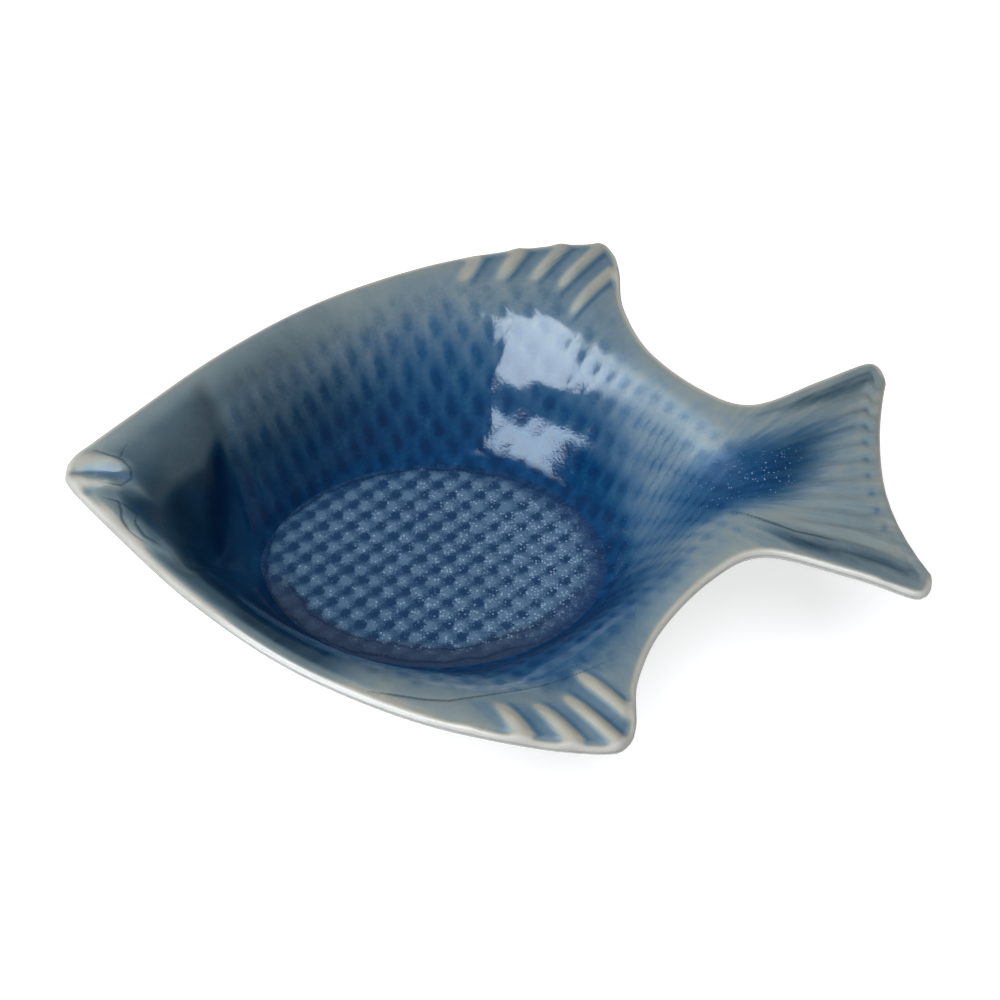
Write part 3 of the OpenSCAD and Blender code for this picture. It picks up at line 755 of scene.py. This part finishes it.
# Towards its edge the pool is plain dark glass. The edge wanders, and frays at the tail end.
middle_x = px + 21.15
reach = start.sum("SQRT", (middle_x / 62.9) ** 2.0 + (py / 47.0) ** 2.0)
wander = start.node("TexNoise", None, {"Vector": place, "Scale": 0.09, "Detail": 4.0, "Roughness": 0.65})
ragged = reach + (wander - 0.5) * 0.14 + (crumb - 0.5) * 0.03
round_x, round_y = middle_x, py * 1.34
away = start.sum("SQRT", round_x * round_x + round_y * round_y)
run = start.node("CombineXYZ", None, {0: round_x / away * 40.0, 1: round_y / away * 40.0, 2: away * 0.08})
run = start.node("TexNoise", None, {"Vector": run, "Scale": 0.8, "Detail": 3.0})
right = px.step(-10.0, 40.0)
frayed = ragged + (run - 0.5) * (0.08 + right * 0.18)
frayed = frayed + ((crumb - 0.5) * 0.36 + (flow - 0.5) * 0.20) * right
calm = frayed.step(0.91 - right * 0.09, 1.02 - right * 0.05)
darks = [(0.38, (0.003, 0.030, 0.092)), (0.62, (0.018, 0.060, 0.150))]
violet = right * crumb.step(0.30, 0.70) * ragged.step(1.03, 0.90)
calm_colour = start.node("ValToRGB", {"stops": darks}, {0: run})
calm_colour = calm_colour.tint(violet * 0.8, (0.046, 0.074, 0.160, 1.0))
colour = colour.tint(calm, calm_colour)

# On the belly side a violet band lies inside the edge, with a dark line on each side of it.
near_band = ragged.step(0.79, 0.88) * py.step(0.0, -22.0) * px.step(42.0, 0.0)
colour = colour.tint(near_band * 0.8, (0.032, 0.050, 0.095, 1.0))
inner_line = start.sum("ABSOLUTE", ragged - 0.86).step(0.016, 0.004)
inner_line = inner_line * py.step(0.0, -16.0) * px.step(40.0, 10.0)
# The line at the pool's edge runs all round, weaker at the tail end: painted shade where the wall meets the
# pool.
edge_shade_line = start.sum("ABSOLUTE", ragged - 0.985).step(0.018, 0.004)
edge_shade_line = edge_shade_line * crumb.step(0.36, 0.50) * (1 - right * 0.9)
inner_line_and_edge_shade = start.sum("MAXIMUM", inner_line * 0.6, edge_shade_line * 0.8)
colour = colour.tint(inner_line_and_edge_shade, (0.004, 0.020, 0.055, 1.0))

# Bubbles and finer dust show as pale specks, most of all over the bloom.
spots = start.node("TexVoronoi", None, {"Vector": place, "Scale": 0.9})
chance = start.node("TexVoronoi", None, {"Vector": place, "Scale": 0.9}, out=1)
chance = start.node("SeparateColor", None, {0: chance}, out=0)
dust = start.node("TexVoronoi", None, {"Vector": place, "Scale": 1.9}).step(0.30, 0.12)
speck = spots.step(0.50, 0.18) * (chance + px / 180.0 + patch * (1 - dark) * 0.45).step(0.50, 1.1)
speck = start.sum("MAXIMUM", speck * 0.8, dust * 0.4 * bloom)
speck = speck * (0.96 + right * 0.04 - reach).step(0.0, 0.2)
colour = colour.tint(speck, (0.34, 0.48, 0.64, 1.0))
skin = start.node("Bump", None, {"Strength": 0.12, "Distance": 0.0003, "Height": crumb + speck})
fit(body, Base_Color=colour, Roughness=crumb * 0.08 + 0.06, IOR=1.34, Normal=skin)


# A plain white table top under the dish, soft lamps above and on the left, two panels that only the glaze
# mirrors, and the camera in front. None of it belongs to the dish.
white = (1.0, 1.0, 1.0, 1.0)
bm = bmesh.new()
bmesh.ops.create_grid(bm, x_segments=8, y_segments=8, size=12.0)
mesh = bpy.data.meshes.new("table_top")
bm.to_mesh(mesh)
bm.free()
table_top = bpy.data.objects.new("table_top", mesh)
bpy.context.scene.collection.objects.link(table_top)
table_top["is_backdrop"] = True
start, body, _ = open_material(table_top, "white_table")
seen = start.node("LightPath", out="Is Camera Ray")
for other in ("Is Glossy Ray", "Is Transmission Ray"):
    seen = start.sum("MAXIMUM", seen, start.node("LightPath", out=other))
fit(body, Base_Color=(0.86, 0.86, 0.86, 1.0), Roughness=0.9, Specular_IOR_Level=0.0)
glow = start.node("Emission", None, {"Color": white, "Strength": seen * 0.6})
lit = start.node("AddShader", None, {0: Shade(start.tree, body.outputs[0]), 1: glow})
start.tree.links.new(lit.socket, start.tree.nodes["Material Output"].inputs[0])

world = bpy.data.worlds.new("studio")
bpy.context.scene.world = world
world.use_nodes = True
sky = world.node_tree.nodes["Background"]
sky.inputs["Color"].default_value = (0.95, 0.97, 1.0, 1.0)
sky.inputs["Strength"].default_value = 0.17


def softbox(name, spot, aim, size, watts, colour, roll=0.0, mirrored=False):
    """A soft lamp aimed at the dish. It lights the dish or, if mirrored, is only seen in its gloss."""
    lamp = bpy.data.lights.new(name, "AREA")
    lamp.shape = "RECTANGLE"
    lamp.size, lamp.size_y = size
    lamp.energy = watts
    lamp.color = colour
    box = bpy.data.objects.new(name, lamp)
    bpy.context.scene.collection.objects.link(box)
    box.location = spot
    turn = (Vector(aim) - Vector(spot)).to_track_quat("-Z", "Y")
    turn = turn @ Quaternion((0, 0, 1), math.radians(roll))
    box.rotation_euler = turn.to_euler()
    box.visible_camera = False
    box.visible_glossy = mirrored
    box.visible_diffuse = not mirrored


daylight, well_middle = (0.93, 0.96, 1.0), (0.0, 0.0, 0.03)
softbox("top_light", (0.05, -0.45, 1.4), well_middle, (1.2, 1.0), 11.0, daylight)
softbox("left_light", (-0.9, -0.35, 0.95), well_middle, (0.7, 0.7), 9.0, daylight)
softbox("upper_panel", (-0.302, -0.206, 0.686), (0.125, -0.206, 0.130), (0.79, 0.535), 14.4,
        (0.84, 0.93, 1.0), roll=40.8, mirrored=True)
softbox("lower_panel", (-0.577, -0.434, 0.163), (-0.183, 0.081, -0.099), (0.345, 0.70), 9.0,
        (0.69, 0.86, 1.0), roll=-61.7, mirrored=True)

lens = bpy.data.cameras.new("front_camera")
lens.sensor_width = 36.0
lens.lens = 82.8
camera = bpy.data.objects.new("front_camera", lens)
bpy.context.scene.collection.objects.link(camera)
look_at = Vector((3.43, -12.63, 58.4)) * mm
turn, tilt, away = math.radians(0.53), math.radians(48.0), 799.3 * mm
back = Vector((math.sin(turn) * math.cos(tilt), -math.cos(turn) * math.cos(tilt), math.sin(tilt)))
camera.location = look_at + away * back
camera.rotation_euler = (-back).to_track_quat("-Z", "Y").to_euler()
bpy.context.scene.camera = camera
bpy.context.scene.view_settings.view_transform = "Standard"

low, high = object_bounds()
